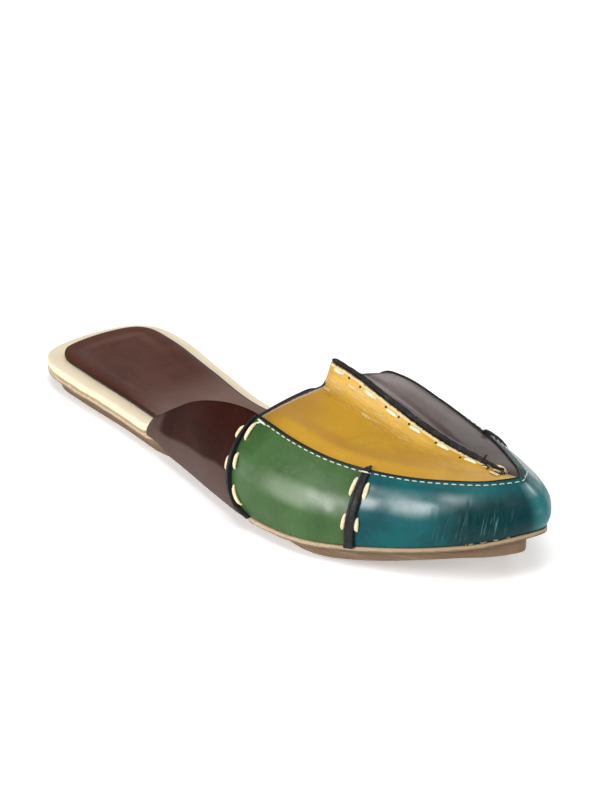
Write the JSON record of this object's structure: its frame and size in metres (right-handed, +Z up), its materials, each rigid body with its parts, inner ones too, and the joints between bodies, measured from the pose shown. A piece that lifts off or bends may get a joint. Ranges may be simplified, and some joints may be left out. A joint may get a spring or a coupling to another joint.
{
  "type": "flat mule shoe",
  "caption": "Backless flat leather mule with a pointed toe, patchwork wall panels, a standing centre seam and a thin stepped sole.",
  "frame": {"origin": "middle of the bounding box, on the floor under the sole", "axes": "+X from heel to toe, +Y towards the inner side of the foot, +Z up"},
  "size_m": [0.2634, 0.092, 0.0572],
  "materials": {
    "tan_sole": "matt moulded rubber",
    "tan_lip": "matt moulded rubber",
    "cream_wrap": "smooth cream wrap",
    "brown_sock": "soft satin leather",
    "upper_leather": "glossy finished leather in coloured panels",
    "black_edge": "raw cut edges stained black"
  },
  "bodies": {
    "root": {"outsole": "tan_sole", "sole_lip": "tan_lip", "footbed_board": "cream_wrap", "insole": "brown_sock", "upper": "upper_leather", "ridge_edge": "black_edge", "side_seam_rear_lateral": "black_edge", "side_seam_front_lateral": "black_edge", "side_seam_front_medial": "black_edge"}
  },
  "joints": []
}
